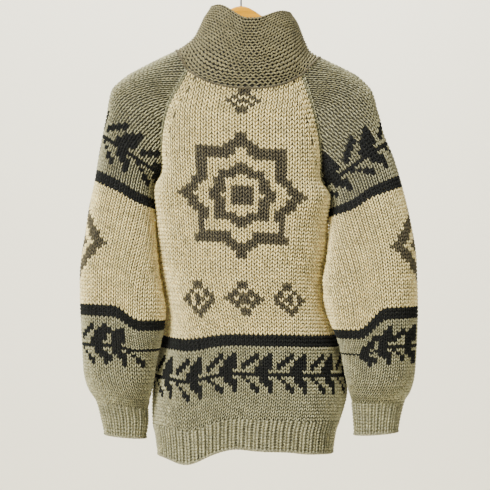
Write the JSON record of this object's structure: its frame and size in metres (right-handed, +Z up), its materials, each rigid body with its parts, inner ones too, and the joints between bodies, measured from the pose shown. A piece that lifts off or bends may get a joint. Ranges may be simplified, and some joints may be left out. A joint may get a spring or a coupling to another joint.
{
  "type": "cowichan cardigan on a wooden hanger",
  "caption": "Heavy hand-knit wool cardigan with raglan sleeves, a high collar, a front zip and ribbed cuffs and hem, on a wooden hanger with a wire hook.",
  "frame": {"origin": "under the top of the hanger's hook, where it bears on its rail", "axes": "+Z up, -Y out of the cardigan's back, +Y out of its zipped front, +X towards the viewer's right when facing the back, which is also the wearer's right"},
  "size_m": [0.531, 0.1855, 0.7851],
  "materials": {
    "cream_wool": "thick marled wool in stockinette stitch, cream with a taupe, charcoal and brown pattern, matt and fuzzy",
    "grey_wool": "thick marled taupe wool in rib and garter stitch, matt and fuzzy",
    "zip_tape": "woven tape, matt",
    "zip_metal": "aged brass, satin",
    "beech": "clear varnished beech, satin",
    "steel_wire": "drawn steel wire, satin"
  },
  "bodies": {
    "cardigan": {"back_panel": "cream_wool", "front_left_panel": "cream_wool", "front_right_panel": "cream_wool", "sleeve_cap_left": "cream_wool", "sleeve_left": "cream_wool", "sleeve_cap_right": "cream_wool", "sleeve_right": "cream_wool", "sleeve_band_left": "grey_wool", "sleeve_band_right": "grey_wool", "back_hem_rib": "grey_wool", "front_left_hem_rib": "grey_wool", "front_right_hem_rib": "grey_wool", "cuff_left": "grey_wool", "cuff_right": "grey_wool", "collar": "grey_wool", "zip_tape_left": "zip_tape", "zip_tape_right": "zip_tape", "zip_slider": "zip_metal", "zip_box": "zip_metal", "hanger_wood": "beech", "hanger_hook": "steel_wire"},
    "pull": {"zip_pull_tab": "zip_metal"}
  },
  "joints": [
    {"name": "zip_pull_hinge", "type": "hinge", "parent": "cardigan", "child": "pull", "pos_m": [0.008, 0.05069, -0.11096], "axis": [1, 0, 0], "range_deg": [0, 165]}
  ]
}
